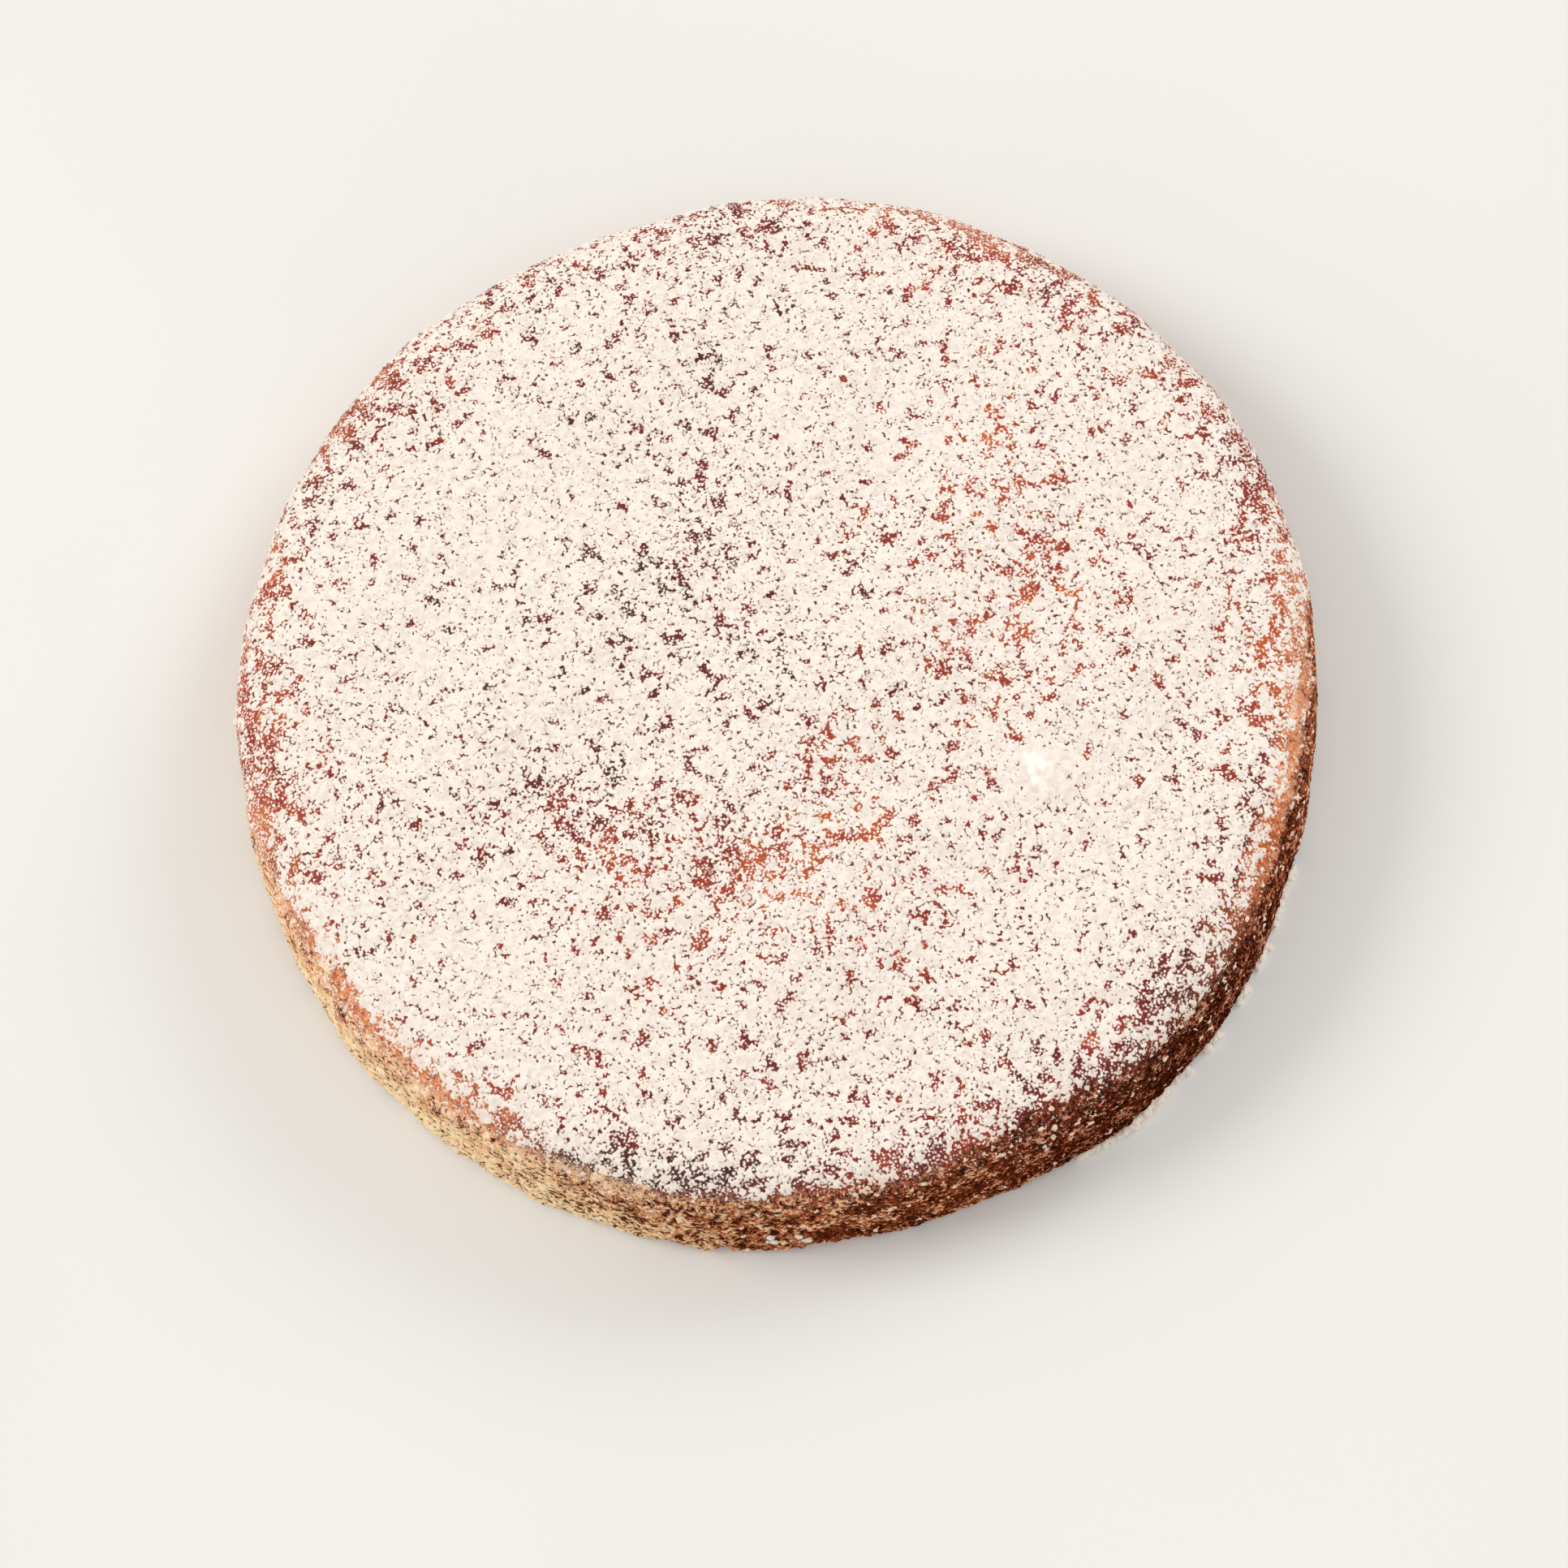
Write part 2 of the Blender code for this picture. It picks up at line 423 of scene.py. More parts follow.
def round_rim(rows, angle):
    """The sum of soft bumps at directions round the rim."""
    total = np.zeros_like(angle)
    for centre, width, amount in rows:
        off = (np.degrees(angle) - centre + 180) % 360 - 180
        total += amount * bell(off, 0, width)
    return total


def by_direction(table, angle):
    """The table's amount in each direction."""
    return np.interp(np.degrees(angle), *zip(*table))


# -------- the form
def outline(angle):
    """How far the outline stands out from a circle."""
    return sum(size * np.cos(n * angle - math.radians(turn)) for n, size, turn in OUTLINE_WAVES)


def swell(x, y):
    """The height of the top's low swells."""
    rng = np.random.default_rng(SWELL_SEED)
    turns, lengths = rng.uniform(0, TAU, SWELLS), rng.uniform(*SWELL_LENGTH, SWELLS)
    starts = rng.uniform(0, TAU, SWELLS)
    return SWELL_SIZE * sum(
        np.sin(TAU * (math.cos(turn) * x + math.sin(turn) * y) / length + start)
        for turn, length, start in zip(turns, lengths, starts)
    )


def profile_table():
    """Even distances along the skin, with the radius, height and outward normal at each."""
    share = np.linspace(0, DOME_SHARE, DOME_STEPS)
    side = SIDE_PROFILE[::-1]
    radius = np.concatenate([share * RIM, [SIDE_RADIUS - inward for inward, _ in side]])
    dome = RIM_HEIGHT + DOME_RISE * (1 - share ** 2)
    height = np.concatenate([dome, [high for _, high in side]])
    along = np.concatenate([[0], np.cumsum(np.hypot(np.diff(radius), np.diff(height)))])
    even = np.linspace(0, along[-1], SKIN_STEPS)
    step = even[1]
    radius, height = np.interp(even, along, radius), np.interp(even, along, height)
    n = BLUR_STEPS
    weights = bell(np.arange(-n, n + 1) * step, 0, SHOULDER_BLUR)
    weights /= weights.sum()
    for line in (radius, height):
        before, after = 2 * line[0] - line[n:0:-1], 2 * line[-1] - line[-2:-n - 2:-1]
        line[:] = np.convolve(np.concatenate([before, line, after]), weights, "valid")
    height[-1] = 0
    slope_r, slope_z = np.gradient(radius, step), np.gradient(height, step)
    size = np.hypot(slope_r, slope_z)
    return even, radius, height, -slope_z / size, slope_r / size


ALONG, RADIUS, HEIGHT, OUT, UP = profile_table()
SKIN = ALONG[-1]


def skin(x, y):
    """Points and outward normals of the plain form at places on the unrolled skin."""
    rho, angle = np.hypot(x, y), np.arctan2(y, x)
    ux, uy = np.cos(angle), np.sin(angle)
    radius = np.interp(rho, ALONG, RADIUS) + outline(angle) * np.clip(rho / RIM, 0, 1)
    px, py = radius * ux, radius * uy
    fade = np.clip(SWELL_FADE * (1 - rho / RIM), 0, 1)
    pz = np.interp(rho, ALONG, HEIGHT) + fade * swell(px, py)
    out, up = np.interp(rho, ALONG, OUT), np.interp(rho, ALONG, UP)
    return np.stack([px, py, pz], -1), np.stack([out * ux, out * uy, up], -1)


# -------- where things lie on the skin
def heaps(x, y, ragged):
    """How high the smooth heaps stand, and how surely each point lies on one."""
    tall, solid = np.zeros_like(x), np.zeros_like(x)
    for cx, cy, width, height in HEAPS:
        off = np.hypot(x - cx * SIDE_RADIUS, y - cy * SIDE_RADIUS) / width
        rise = bell(off + HEAP_RAGGED * ragged, 0, 1)
        tall += height * rise
        solid = np.maximum(solid, smoothstep(*HEAP_SOLID, rise))
    return tall, solid


def skin_end(angle):
    """Where the sugared skin dives under the side piece."""
    return by_direction(SUGAR_EDGE, angle) + SKIN_PAST_EDGE


def beyond_sugar(rho, angle, ragged):
    """0 where the top's sugar lies, 1 on the bare rim past its edge."""
    edge = by_direction(SUGAR_EDGE, angle) + round_rim(EDGE_SHIFTS, angle)
    return smoothstep(*EDGE_SOFT, rho - edge - EDGE_RAGGED * ragged)


def sugar_density(x, y, grid, beyond):
    """The share of the grains of sugar that may lie at each place, 0 to 1."""
    rho, angle = np.hypot(x, y), np.arctan2(y, x)
    density = COVER + COVER_PATCHES * patches(SUGAR_PATCHES, x, y)
    density += COVER_UNEVEN * spectral(*grid, CELL, *TOP_UNEVEN)
    rim = smoothstep(by_direction(THIN_FROM, angle), THIN_FULL, rho)
    rim = by_direction(EDGE_THIN, angle) * rim
    spots = np.exp(THIN_SPOTS_SHARP * spectral(*grid, CELL, *TOP_THIN_SPOTS))
    density -= (THIN_SPOTS + THIN_SPOTS_AT_RIM * rim) * (spots - spots.mean()) / spots.std()
    density -= rim
    caught = CAUGHT + round_rim(CAUGHT_RIM, angle) * smoothstep(*CAUGHT_FROM, rho)
    return np.clip(density * (1 - beyond) + caught * beyond, 0, 1)


def crust_zones(rho, angle, ragged):
    """What the bare crust looks like at each place.

    Side says how far it is side and not top, salmon how far it is the pale salmon rim, the next how
    dark the side is, partly from baking and partly painted light and shade, and dust how much of
    the film of sugar it holds.
    """
    end = skin_end(angle)
    near, far = SALMON_TO
    salmon = np.clip(round_rim(SALMON_RIM, angle), 0, 1)
    salmon *= smoothstep(*SALMON_FROM, rho + ZONE_RAGGED * ragged)
    salmon *= 1 - smoothstep(end + near, end + far, rho + SALMON_RAGGED * ragged)
    near, far = SIDE_LOOK_FROM
    side = smoothstep(end + near, end + far, rho + ZONE_RAGGED * ragged)
    bare = BARE_RIM_SIDE * beyond_sugar(rho - BARE_RIM_OUT, angle, ragged)
    side = np.maximum(side, bare * (1 - salmon))
    # How dark the side is by direction: partly from baking, partly painted light and shade.
    bake_and_light = by_direction(SIDE_BAKE_AND_LIGHT, angle) + BAKE_RAGGED * ragged
    bake_and_light += DARK_FOOT * smoothstep(*DARK_FOOT_OVER, rho) * smoothstep(*DARK_BAKE, bake_and_light)
    pale = smoothstep(*PALE_BAKE, bake_and_light)
    # Painted shade under the rim and painted light at the foot, on the pale side.
    under_rim = UNDER_RIM_SHADE * bell(rho - end, *UNDER_RIM_SHADE_BELL)
    bake_and_light += pale * (under_rim - FOOT_LIGHT * smoothstep(*FOOT_LIGHT_OVER, rho))
    dust = DUST + (DUST_RIM + DUST_RIM * pale) * bell(rho - end, *DUST_RIM_BELL)
    dust += DUST_PALE * pale * bell(rho - end, *DUST_PALE_BELL)
    dust *= 1 - DUST_LOST * smoothstep(*DARK_BAKE, bake_and_light)
    return dict(side=side, salmon=salmon, bake_and_light=bake_and_light, dust=dust)


# -------- meshes
def mesh_object(name, points, triangles, smooth=True):
    """A mesh of triangles between points in millimetres, placed in the scene."""
    mesh = bpy.data.meshes.new(name)
    mesh.vertices.add(len(points))
    mesh.vertices.foreach_set("co", np.ascontiguousarray(points * MM, np.float32).ravel())
    mesh.loops.add(3 * len(triangles))
    corners = np.ascontiguousarray(triangles, np.int32).ravel()
    mesh.loops.foreach_set("vertex_index", corners)
    mesh.polygons.add(len(triangles))
    mesh.polygons.foreach_set("loop_start", np.arange(0, len(corners), 3, dtype=np.int32))
    mesh.update(calc_edges=True)
    mesh.polygons.foreach_set("use_smooth", np.full(len(triangles), smooth))
    made = bpy.data.objects.new(name, mesh)
    bpy.context.scene.collection.objects.link(made)
    return made


def attribute(obj, name, values):
    """One number for every point, which the materials read by name."""
    made = obj.data.attributes.new(name, "FLOAT", "POINT")
    made.data.foreach_set("value", np.ascontiguousarray(values, np.float32))


def uv_map(obj, uv):
    """A UV map named OFBake, from the given places."""
    layer = obj.data.uv_layers.new(name="OFBake")
    layer.uv.foreach_set("vector", np.ascontiguousarray(uv, np.float32).ravel())


# -------- materials
# Noise: (longest wave in millimetres, detail, roughness), and for some of it a stretch.
TONE_NOISE = (8, 4, 0.6)
SALMON_NOISE = (1.6, 4, 0.7)
SPECK_NOISE = (0.9, 3, 0.65)
BAKE_NOISE = (3.2, 4, 0.7, (1, 1, 0.7))
CRUMB_NOISE = (1.0, 4, 0.66, (1, 1, 1.2))
CLUSTER_NOISE = (5.0, 2, 0.5)
DASH_NOISE = (1.7, 3, 0.6, (1, 1, 1.9))
DUST_NOISE = (0.5, 3, 0.7)
MOTTLE_NOISE = (7, 3, 0.6)
CLOT_NOISE = (1.7, 3, 0.62)
BUMP_NOISE = (0.5, 2, 0.6)
CLUMP_NOISE = (0.7, 3, 0.6)
FLOOR_NOISE = (300, 3, 0.5)
# How far some of the noise swings.
TONE_SWING = 0.55
BAKE_SWING = 1.1
CLUSTER_SWING = 0.5
CLUMP_SWING = 0.8
# Where each layer begins and where it is full: (from, to).
SHADE_OVER = (0.15, 0.65)
SPECK_OVER = (0.42, 0.36)
BAKE_OVER = (0.02, 0.35)
CRUMB_OVER = (0.55, 0.61)
PIT_OVER = (0.0, 0.04)
HOLLOW_OVER = (0.15, 0.7)
DASH_OVER = (0.400, 0.370)
DASH_BAKE = (0.60, 0.15)
DUST_OVER = (0.53, 0.62)
COVER_OVER = (0.0, 0.26)
MOTTLE_OVER = (0.35, 0.65)
CLOT_OVER = (0.58, 0.36)
THIN_OVER = (0.0, 0.4)
HEAP_OVER = (0.7, 1.5)
CLUMP_OVER = (-0.2, 0.4)
FLOOR_OVER = (0.3, 0.7)
# The baked side's noise grows from the first of these, where it is pale, to the second.
BAKE_GROWS = (0.55, 1.0)
SALMON_BY_TONE = 0.4
SALMON_LEVEL = -0.26
PIT_LEVEL = 0.432
PIT_BY_BAKE = 0.05
PIT_BY_CLUSTERS = 0.7
GRIT_SIZE = 0.6
GRIT_DEPTH = -0.78
GRIT_LEVEL = 0.50
# (distance in millimetres, strength)
CAKE_BUMP = (0.06, 0.5)
CLUMP_BUMP = (0.08, 0.6)
# Colours as a screen shows them, 0 to 255. A ramp's rows are (place, colour).
TOP_CRUST = (
    (0.0, (75, 48, 46)), (0.35, (118, 47, 44)), (0.62, (157, 64, 50)), (1.0, (200, 102, 58)),
)
SHADED_CRUST = (100, 54, 45)
SALMON = ((0.34, (188, 98, 56)), (0.5, (226, 145, 98)), (0.66, (245, 196, 160)))
SALMON_SPECKS = (138, 60, 36)
# By how dark the side is: partly from baking, partly painted light and shade.
SIDE_CRUST = (
    (0.0, (255, 223, 176)), (0.25, (236, 180, 128)), (0.45, (184, 98, 54)), (0.62, (144, 66, 30)),
    (0.8, (116, 46, 18)), (1.0, (98, 36, 14)),
)
# Painted shade in the side's pits.
SIDE_PIT_SHADE = ((0.0, (112, 54, 22)), (0.3, (78, 29, 8)), (1.0, (36, 12, 4)))
# Pale crumbs, partly their own colour and partly painted highlight.
SIDE_CRUMBS_AND_HIGHLIGHTS = (
    (0.0, (255, 240, 200)), (0.5, (252, 202, 160)), (0.8, (226, 160, 126)), (1.0, (194, 130, 100)),
)
SIDE_DASHES = (116, 46, 18)
DUST_FILM = (240, 214, 196)
SUGAR = (245, 234, 222)
SUGAR_MOTTLE = (242, 233, 223)
# Greyer patches: partly clotted sugar, partly painted shade between clumps.
SUGAR_CLOTS_AND_SHADE = (231, 219, 208)
SUGAR_THIN = (235, 214, 200)
SUGAR_HEAPED = (252, 246, 238)
# Painted warm reflected light on the sugar on the side.
SUGAR_ON_SIDE_WARM_LIGHT = (246, 214, 188)
# Painted shade in the hollows of the loose clumps.
CLUMP_HOLLOW_SHADE = (231, 211, 197)
CLUMP_CRUMBS = (243, 232, 219)
FLOOR_TINTS = (228, 227, 224), (232, 231, 228)
FLOOR_ROUGH = 0.6
CRUST_ROUGH = 0.6
SUGAR_ROUGH = 0.95


def linear(*rgb):
    """A screen's colour as Blender's linear one."""
    def straightened(part):
        return part / 12.92 if part <= 0.04045 else ((part + 0.055) / 1.055) ** 2.4

    return (*(straightened(part / 255) for part in rgb), 1.0)


class Nodes:
    """Builds one material's nodes. A colour is a socket or three numbers from 0 to 255."""

    def __init__(self, name):
        self.material = bpy.data.materials.new(name)
        self.material.use_nodes = True
        self.tree = self.material.node_tree
        self.shader = self.tree.nodes["Principled BSDF"]
        self.place = self.add("ShaderNodeTexCoord").outputs["Object"]

    def add(self, kind, **settings):
        node = self.tree.nodes.new(kind)
        for key, value in settings.items():
            setattr(node, key, value)
        return node

    def feed(self, socket, value):
        if isinstance(value, bpy.types.NodeSocket):
            self.tree.links.new(value, socket)
        else:
            socket.default_value = value

    def maths(self, operation, *values):
        node = self.add("ShaderNodeMath", operation=operation)
        for socket, value in zip(node.inputs, values):
            self.feed(socket, value)
        return node.outputs[0]

    def noise(self, wavelength, detail, roughness, stretch=None):
        """Soft noise from 0 to 1. Its longest wave is in millimetres."""
        node = self.add("ShaderNodeTexNoise")
        node.inputs["Scale"].default_value = 1 / MM / wavelength
        node.inputs["Detail"].default_value = detail
        node.inputs["Roughness"].default_value = roughness
        place = self.place
        if stretch:
            mapping = self.add("ShaderNodeMapping")
            mapping.inputs["Scale"].default_value = stretch
            self.feed(mapping.inputs["Vector"], place)
            place = mapping.outputs[0]
        self.feed(node.inputs["Vector"], place)
        return node.outputs["Fac"]

    def swing(self, noise, amount):
        """The noise as a swing of this amount in all, half of it on either side of nought."""
        return self.maths("MULTIPLY_ADD", noise, amount, -amount / 2)

    def grains(self, size):
        """0 in the middle of each grain of about this size, about 1 between grains."""
        node = self.add("ShaderNodeTexVoronoi", feature="F1")
        node.inputs["Scale"].default_value = 1 / MM / size
        self.feed(node.inputs["Vector"], self.place)
        return node.outputs["Distance"]

    def attribute(self, name):
        return self.add("ShaderNodeAttribute", attribute_name=name).outputs["Fac"]

    def between(self, value, low, high, start=0.0, end=1.0, smooth=True):
        """The value from low to high, as start to end, held at those past them."""
        kind = "SMOOTHSTEP" if smooth else "LINEAR"
        node = self.add("ShaderNodeMapRange", interpolation_type=kind)
        for socket, part in zip(node.inputs, (value, low, high, start, end)):
            self.feed(socket, part)
        return node.outputs[0]

    def mix(self, share, a, b):
        """Colour a, with this share of colour b."""
        node = self.add("ShaderNodeMix", data_type="RGBA")
        self.feed(node.inputs[0], share)
        for socket, colour in ((node.inputs[6], a), (node.inputs[7], b)):
            self.feed(socket, linear(*colour) if isinstance(colour, tuple) else colour)
        return node.outputs[2]

    def ramp(self, value, stops):
        node = self.add("ShaderNodeValToRGB")
        while len(node.color_ramp.elements) < len(stops):
            node.color_ramp.elements.new(0.5)
        for element, (place, colour) in zip(node.color_ramp.elements, stops):
            element.position, element.color = place, linear(*colour)
        self.feed(node.inputs[0], value)
        return node.outputs["Color"]

    def bump(self, height, distance, strength):
        node = self.add("ShaderNodeBump")
        node.inputs["Distance"].default_value = distance * MM
        node.inputs["Strength"].default_value = strength
        self.feed(node.inputs["Height"], height)
        self.feed(self.shader.inputs["Normal"], node.outputs[0])

    def finish(self, colour, roughness):
        self.feed(self.shader.inputs["Base Color"], colour)
        self.feed(self.shader.inputs["Roughness"], roughness)
        # Sugar, crumb and floor are all without gloss.
        self.shader.inputs["Specular IOR Level"].default_value = 0.0
        return self.material


def top_crust(nodes):
    """Baked top crust: dark plum through red brown to orange, by the tone drawn on the mesh."""
    drawn = nodes.attribute("tone")
    tone = nodes.maths("ADD", drawn, nodes.swing(nodes.noise(*TONE_NOISE), TONE_SWING))
    crust = nodes.ramp(tone, TOP_CRUST)
    shade = nodes.between(nodes.attribute("open"), *SHADE_OVER)
    crust = nodes.mix(shade, SHADED_CRUST, crust)
    fine = nodes.maths("ADD", nodes.noise(*SALMON_NOISE), SALMON_LEVEL)
    salmon = nodes.ramp(nodes.maths("MULTIPLY_ADD", drawn, SALMON_BY_TONE, fine), SALMON)
    speck = nodes.between(nodes.noise(*SPECK_NOISE), *SPECK_OVER)
    salmon = nodes.mix(speck, salmon, SALMON_SPECKS)
    return nodes.mix(nodes.attribute("salmon"), crust, salmon)


def side_crust(nodes):
    """Crumbly side: pale gold to dark brown, with painted shade in its pits; its pale crumbs are
    partly painted highlight.
    """
    # The side's colour by direction is partly from baking and partly painted light and shade.
    baked_and_lit = nodes.attribute("bake_and_light")
    bake_and_light = nodes.swing(nodes.noise(*BAKE_NOISE), BAKE_SWING)
    grown = nodes.between(baked_and_lit, *BAKE_OVER, *BAKE_GROWS)
    bake_and_light = nodes.maths("ADD", baked_and_lit, nodes.maths("MULTIPLY", bake_and_light, grown))
    crumb = nodes.noise(*CRUMB_NOISE)
    clusters = nodes.swing(nodes.noise(*CLUSTER_NOISE), CLUSTER_SWING)
    # Pale crumbs, partly their own colour and partly painted highlight.
    lit = nodes.between(nodes.maths("ADD", crumb, clusters), *CRUMB_OVER)
    crust = nodes.mix(lit, nodes.ramp(bake_and_light, SIDE_CRUST), nodes.ramp(bake_and_light, SIDE_CRUMBS_AND_HIGHLIGHTS))
    # Painted shade in the pits: they lie where the crumb's noise falls below a limit, and where the
    # mesh itself is hollow.
    low = nodes.maths("MULTIPLY_ADD", baked_and_lit, PIT_BY_BAKE, PIT_LEVEL)
    low = nodes.maths("SUBTRACT", low, nodes.maths("MULTIPLY", clusters, PIT_BY_CLUSTERS))
    pit_shade = nodes.between(nodes.maths("SUBTRACT", low, crumb), *PIT_OVER)
    pit_shade = nodes.maths("MAXIMUM", pit_shade, nodes.between(nodes.attribute("pit_shade"), *HOLLOW_OVER))
    crust = nodes.mix(pit_shade, crust, nodes.ramp(bake_and_light, SIDE_PIT_SHADE))
    # The pale side has flat dark dashes too.
    dash = nodes.between(nodes.noise(*DASH_NOISE), *DASH_OVER)
    dash = nodes.maths("MULTIPLY", dash, nodes.between(baked_and_lit, *DASH_BAKE))
    return nodes.mix(dash, crust, SIDE_DASHES)


def cake_surface():
    """Crust with its film of dust, under sugar that is as thick as the mesh says."""
    nodes = Nodes("sugared_crust")
    side, thick = nodes.attribute("side"), nodes.attribute("sugar")
    crust = nodes.mix(side, top_crust(nodes), side_crust(nodes))
    film = nodes.between(nodes.noise(*DUST_NOISE), *DUST_OVER)
    film = nodes.maths("MULTIPLY", film, nodes.attribute("dust"))
    crust = nodes.mix(film, crust, DUST_FILM)
    # Grains too fine for the mesh break up the edge of the sugar.
    grit = nodes.maths("MULTIPLY_ADD", nodes.grains(GRIT_SIZE), GRIT_DEPTH, GRIT_LEVEL)
    depth = nodes.maths("ADD", thick, grit)
    cover = nodes.between(depth, *COVER_OVER)
    mottle = nodes.between(nodes.noise(*MOTTLE_NOISE), *MOTTLE_OVER)
    sugar = nodes.mix(mottle, SUGAR, SUGAR_MOTTLE)
    # Greyer patches: partly clotted sugar, partly painted shade between clumps.
    clotted_and_shaded = nodes.between(nodes.noise(*CLOT_NOISE), *CLOT_OVER)
    sugar = nodes.mix(clotted_and_shaded, sugar, SUGAR_CLOTS_AND_SHADE)
    sugar = nodes.mix(nodes.between(depth, *THIN_OVER), SUGAR_THIN, sugar)
    sugar = nodes.mix(nodes.between(thick, *HEAP_OVER), sugar, SUGAR_HEAPED)
    # Painted warm reflected light on the sugar on the side.
    sugar = nodes.mix(side, sugar, SUGAR_ON_SIDE_WARM_LIGHT)
    nodes.bump(nodes.noise(*BUMP_NOISE), *CAKE_BUMP)
    rough = nodes.between(cover, 0, 1, CRUST_ROUGH, SUGAR_ROUGH, smooth=False)
    return nodes.finish(nodes.mix(cover, crust, sugar), rough)


def clump_surface():
    nodes = Nodes("clumped_sugar")
    # Painted shade: darker in the clumps' hollows, lighter on their bulges.
    crumb = nodes.swing(nodes.noise(*CLUMP_NOISE), CLUMP_SWING)
    crumb = nodes.maths("ADD", nodes.attribute("crumb"), crumb)
    colour = nodes.mix(nodes.between(crumb, *CLUMP_OVER), CLUMP_HOLLOW_SHADE, CLUMP_CRUMBS)
    nodes.bump(nodes.noise(*BUMP_NOISE), *CLUMP_BUMP)
    return nodes.finish(colour, SUGAR_ROUGH)


# -------- the sugared skin
def sugared_top():
    """A square grid over the unrolled top: its points, how tall the sugar is, and its looks."""
    half = int(SUGAR_REACH / CELL) + 1
    line = np.arange(-half, half + 1) * CELL
    x, y = np.meshgrid(line, line)
    grid = x.shape
    rho, angle = np.hypot(x, y), np.arctan2(y, x)
    end = skin_end(angle)
    ragged = spectral(*grid, CELL, *TOP_RAGGED)
    beyond = beyond_sugar(rho, angle, ragged)
    grains = lumps(*grid, CELL, *TOP_GRAINS, sugar_density(x, y, grid, beyond))
    sugar = grains + FINE_GRIT * spectral(*grid, CELL, *TOP_FINE) - FINE_GRIT - BARE_LOSS * beyond
    heap, solid = heaps(x, y, ragged)
    sugar += solid * np.maximum(HEAP_SUGAR - sugar, 0)
    height = SUGAR_THICK * (1 - np.exp(-np.maximum(sugar, 0) / SUGAR_ROUND))
    height += np.minimum(sugar, 0) * HOLE_DEPTH
    bare = (sugar < HOLE_EDGE).astype(float)
    opening = np.clip(blurred(bare, CELL, HOLE_BLUR) * HOLE_GAIN, 0, 1)
    tone = BASE_TONE + patches(TONE_PATCHES, x, y) + TONE_SPREAD * spectral(*grid, CELL, *TOP_TONE)
    # Darker along the lip, at the front right as painted shade.
    tone += round_rim(DARK_LIP_AND_SHADE, angle) * bell(rho, LIP_AT, LIP_WIDTH)
    crag = (CRAG + CRAG_BARE * beyond) * spectral(*grid, CELL, *TOP_CRAG)
    lift = TOP_LIFT + heap + crag - BARE_SINK * beyond
    lift -= DIVE * smoothstep(end - DIVE_OVER, end, rho)
    points, normals = skin(x.ravel(), y.ravel())
    points = points + normals * (lift + height).ravel()[:, None]
    # Painted shade in the hollows of the bare rim's crags.
    pit_shade = np.clip(-CRAG_SHADE * crag, 0, 1) * beyond
    looks = dict(sugar=sugar, open=opening, tone=tone, pit_shade=pit_shade)
    looks.update(crust_zones(rho, angle, ragged))
    return dict(half=half, x=x, y=y, points=points, height=height, looks=looks, kept=rho < end)


def strip_piece(name, top, rows, material):
    """One strip of the sugared skin: two triangles a cell, split along the flatter diagonal."""
    n = 2 * top["half"] + 1
    low, high = rows
    i, j = np.mgrid[low:high, 0:n - 1]
    i, j = i.ravel(), j.ravel()
    inside = top["kept"][i, j]
    i, j = i[inside], j[inside]
    a = i * n + j
    b, c, d = a + 1, a + n + 1, a + n
    tall = top["height"].ravel()
    flat = (np.abs(tall[a] - tall[c]) < np.abs(tall[b] - tall[d]))[:, None]
    first = np.where(flat, np.stack([a, b, c], 1), np.stack([a, b, d], 1))
    second = np.where(flat, np.stack([a, c, d], 1), np.stack([b, c, d], 1))
    triangles = np.stack([first, second], 1).reshape(-1, 3)
    used, triangles = np.unique(triangles, return_inverse=True)
    triangles = triangles.reshape(-1, 3)
    piece = mesh_object(name, top["points"][used], triangles)
    for key, values in top["looks"].items():
        attribute(piece, key, values.ravel()[used])
    # The two halves of the strip lie one above the other in the map.
    right = np.repeat(j >= top["half"], 6)
    corners = used[triangles.ravel()]
    px, py = top["x"].ravel()[corners], top["y"].ravel()[corners]
    u = (np.where(right, px, px + SUGAR_REACH) + MAP_MARGIN) / (SUGAR_REACH + 2 * MAP_MARGIN)
    v0, v1 = (low - top["half"]) * CELL, (high - top["half"]) * CELL
    v = (py - v0) / (v1 - v0) * MAP_STRIP_HIGH + MAP_STRIP_LOW + np.where(right, 0.5, 0)
    uv_map(piece, np.stack([u, v], 1))
    piece.data.materials.append(material)
    return piece


def strip_rows(half):
    """Row limits that give every strip about the same number of cells."""
    edge = (np.arange(-half, half) + 0.5) * CELL
    cells = np.sqrt(np.maximum(SUGAR_REACH ** 2 - edge ** 2, 0))
    total = np.concatenate([[0], np.cumsum(cells)])
    cuts = [int(np.searchsorted(total, total[-1] * k / STRIPS)) for k in range(STRIPS + 1)]
    cuts[-1] = 2 * half
    return list(zip(cuts[:-1], cuts[1:]))


# -------- the side, foot and inner cap
def ring_faces(rows, sectors):
    """Triangles between the rings, closed by a fan at the foot and a fan inside."""
    k = np.arange(rows * sectors).reshape(rows, sectors)
    p, q = k[:-1], k[1:]
    p1, q1 = np.roll(p, -1, 1), np.roll(q, -1, 1)
    foot_centre = np.full(sectors, rows * sectors)
    return np.concatenate([
        np.stack([p, q, q1], -1).reshape(-1, 3),
        np.stack([p, q1, p1], -1).reshape(-1, 3),
        np.stack([k[-1], foot_centre, np.roll(k[-1], -1)], -1),
        np.stack([k[0], np.roll(k[0], -1), foot_centre + 1], -1),
    ])


